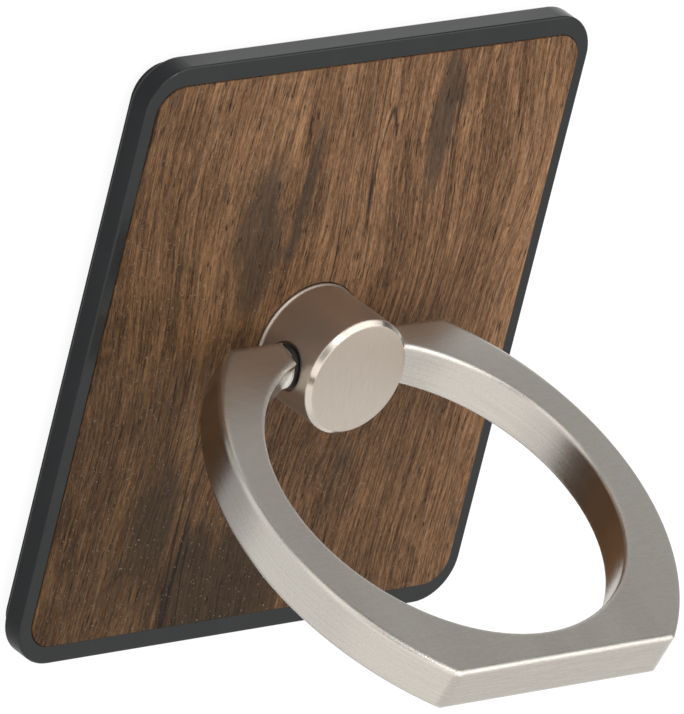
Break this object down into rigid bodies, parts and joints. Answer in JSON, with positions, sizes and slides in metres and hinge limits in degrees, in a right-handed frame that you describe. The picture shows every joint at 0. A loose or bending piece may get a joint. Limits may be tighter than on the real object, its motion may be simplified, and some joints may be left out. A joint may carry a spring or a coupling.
{
  "type": "phone ring holder",
  "caption": "Flat adhesive plate with a wood inlay and a metal finger ring that swivels on a short post and flips up as a grip or stand.",
  "frame": {"origin": "middle of the adhesive face on the back of the plate, on the axis of the post", "axes": "+Z out of the plate's front along the post's axis, +Y up the plate away from the raised ring, +X to the right along the hinge pin"},
  "size_m": [0.035, 0.0402, 0.0299],
  "materials": {
    "adhesive_foam": "matt",
    "black_plastic": "satin",
    "plate_steel": "rolled",
    "dark_wood": "oiled",
    "bearing_plastic": "smooth",
    "brushed_nickel": "brushed nickel plating",
    "spring_steel": "spring temper",
    "washer_steel": "zinc plated",
    "pin_steel": "ground",
    "satin_nickel": "satin nickel plating"
  },
  "bodies": {
    "plate": {"adhesive_pad": "adhesive_foam", "base_tray": "black_plastic", "steel_plate": "plate_steel", "wood_inlay": "dark_wood", "bearing_washer": "bearing_plastic"},
    "post": {"swivel_post": "brushed_nickel", "wave_washer": "spring_steel", "retaining_washer": "washer_steel"},
    "ring": {"hinge_pin": "pin_steel", "finger_ring": "satin_nickel"}
  },
  "joints": [
    {"name": "post_swivel", "type": "hinge", "parent": "plate", "child": "post", "pos_m": [0, 0, 0.0024], "axis": [0, 0, 1], "continuous": true},
    {"name": "ring_flip", "type": "hinge", "parent": "post", "child": "ring", "pos_m": [0, 0, 0.0049], "axis": [1, 0, 0], "range_deg": [-110.4, 72.6]}
  ]
}
